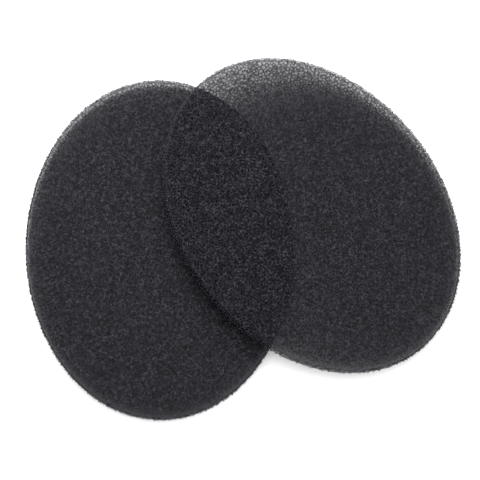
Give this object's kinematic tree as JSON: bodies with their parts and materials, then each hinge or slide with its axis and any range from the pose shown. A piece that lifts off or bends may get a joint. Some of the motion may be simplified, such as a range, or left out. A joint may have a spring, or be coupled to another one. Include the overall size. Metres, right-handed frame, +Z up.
{
  "type": "foam ear pad insert pair",
  "caption": "Flat oval discs of dark open-cell foam, the liners for over-ear headset ear cushions, one leaning on the other.",
  "frame": {"origin": "on the table, under the middle of the box that holds both discs", "axes": "+Z up from the table, +X from the flat disc towards the leaning one, +Y across"},
  "size_m": [0.1194, 0.1002, 0.0136],
  "materials": {
    "foam": "matt open-cell foam, charcoal"
  },
  "bodies": {
    "lower_pad": {"lower_pad": "foam"},
    "upper_pad": {"upper_pad": "foam"}
  },
  "joints": [
    {"name": "upper_pad_lift", "type": "slide", "parent": "lower_pad", "child": "upper_pad", "axis": [0, 0, 1], "range_m": [0, 0.05]}
  ]
}
